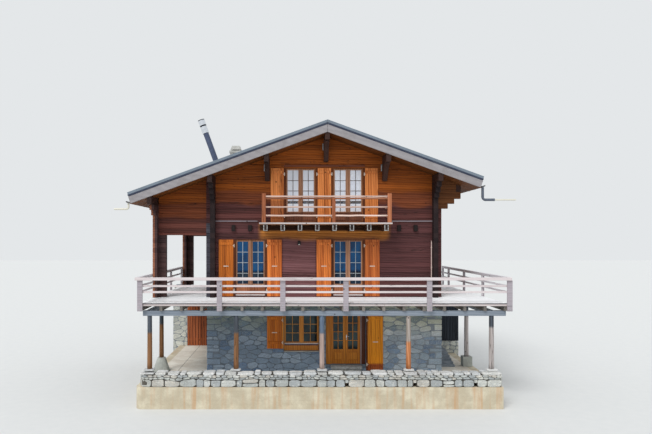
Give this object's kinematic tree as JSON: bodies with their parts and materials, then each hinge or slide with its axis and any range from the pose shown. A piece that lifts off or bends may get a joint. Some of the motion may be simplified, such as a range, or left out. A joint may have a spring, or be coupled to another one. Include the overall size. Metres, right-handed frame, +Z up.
{
  "type": "alpine chalet",
  "caption": "Log chalet on a stone storey, with a wrap-round deck on posts, a gable balcony, a loggia and a glazed double door.",
  "frame": {"origin": "on the lowest ground level, under the ridge, at the foot of the front wall's outer face", "axes": "+X to the right along the front, +Y from the front wall to the back, +Z up"},
  "size_m": [14.797, 9.67, 11.0793],
  "materials": {
    "retaining_wall": "cast concrete, weathered",
    "stone_parapet": "dry stone, pale grey",
    "terrace_floor": "pale paving, worn",
    "post_bases": "mortared stone",
    "side_steps": "split stone",
    "side_stone_walls": "rubble stone",
    "slat_screens": "stained boards",
    "front_wall_left": "coursed rubble",
    "front_wall_right": "coursed rubble",
    "front_wall_center": "coursed rubble",
    "stone_wall_left": "coursed rubble",
    "stone_wall_right": "coursed rubble",
    "stone_wall_back": "coursed rubble",
    "ground_floor": "screed",
    "first_floor": "concrete slab",
    "log_wall_front": "weathered squared logs",
    "log_wall_left": "weathered logs",
    "log_wall_right": "weathered logs",
    "log_wall_back": "weathered logs",
    "gable_wall_front": "squared logs, warm where sheltered",
    "loggia_gables": "weathered logs",
    "loggia_pillars": "weathered logs",
    "floor_beams": "weathered logs",
    "upper_floor": "floor boards",
    "balcony_floor": "boards",
    "balcony_posts": "stained pine",
    "balcony_rails": "peeled poles",
    "trim_boards": "planed board",
    "purlins": "weathered logs",
    "purlin_corbels": "weathered logs",
    "roof_slabs": "soffit boards",
    "roof_covering": "standing seam sheet",
    "bargeboards": "weathered, pale grey",
    "verge_flashings": "folded sheet",
    "ridge_cap": "folded sheet",
    "gutters": "folded sheet",
    "rain_spouts": "sheet pipe",
    "flue_pipe": "dark coated",
    "flue_cowl": "bright steel",
    "chimney": "clad shaft",
    "chimney_cowl": "cast cap",
    "deck_posts": "peeled logs",
    "deck_beams": "weathered",
    "deck_joists": "weathered",
    "deck_boards": "bleached boards",
    "deck_rail_front": "bleached rails",
    "deck_rail_left": "bleached rails",
    "deck_rail_right": "bleached rails",
    "window_frames": "stained, satin",
    "window_glass": "clear panes",
    "shutters": "stained boards",
    "door_frame": "stained, satin",
    "door_leaf_left": "stained, satin",
    "door_leaf_right": "stained, satin",
    "door_glass_left": "clear panes",
    "door_glass_right": "clear panes",
    "door_step": "split stone",
    "wall_lamp": "black"
  },
  "bodies": {
    "house": {"retaining_wall": "retaining_wall", "stone_parapet": "stone_parapet", "terrace_floor": "terrace_floor", "post_bases": "post_bases", "side_steps": "side_steps", "side_stone_walls": "side_stone_walls", "slat_screens": "slat_screens", "front_wall_left": "front_wall_left", "front_wall_right": "front_wall_right", "front_wall_center": "front_wall_center", "stone_wall_left": "stone_wall_left", "stone_wall_right": "stone_wall_right", "stone_wall_back": "stone_wall_back", "ground_floor": "ground_floor", "first_floor": "first_floor", "log_wall_front": "log_wall_front", "log_wall_left": "log_wall_left", "log_wall_right": "log_wall_right", "log_wall_back": "log_wall_back", "gable_wall_front": "gable_wall_front", "loggia_gables": "loggia_gables", "loggia_pillars": "loggia_pillars", "floor_beams": "floor_beams", "upper_floor": "upper_floor", "balcony_floor": "balcony_floor", "balcony_posts": "balcony_posts", "balcony_rails": "balcony_rails", "trim_boards": "trim_boards", "purlins": "purlins", "purlin_corbels": "purlin_corbels", "roof_slabs": "roof_slabs", "roof_covering": "roof_covering", "bargeboards": "bargeboards", "verge_flashings": "verge_flashings", "ridge_cap": "ridge_cap", "gutters": "gutters", "rain_spouts": "rain_spouts", "flue_pipe": "flue_pipe", "flue_cowl": "flue_cowl", "chimney": "chimney", "chimney_cowl": "chimney_cowl", "deck_posts": "deck_posts", "deck_beams": "deck_beams", "deck_joists": "deck_joists", "deck_boards": "deck_boards", "deck_rail_front": "deck_rail_front", "deck_rail_left": "deck_rail_left", "deck_rail_right": "deck_rail_right", "window_frames": "window_frames", "window_glass": "window_glass", "shutters": "shutters", "door_frame": "door_frame", "door_step": "door_step", "wall_lamp": "wall_lamp"},
    "left_leaf": {"door_leaf_left": "door_leaf_left", "door_glass_left": "door_glass_left"},
    "right_leaf": {"door_leaf_right": "door_leaf_right", "door_glass_right": "door_glass_right"}
  },
  "joints": [
    {"name": "left_leaf_hinge", "type": "hinge", "parent": "house", "child": "left_leaf", "pos_m": [0.197, 0.211, 2], "axis": [0, 0, 1], "range_deg": [0, 90]},
    {"name": "right_leaf_hinge", "type": "hinge", "parent": "house", "child": "right_leaf", "pos_m": [1.333, 0.211, 2], "axis": [0, 0, -1], "range_deg": [0, 90]}
  ]
}
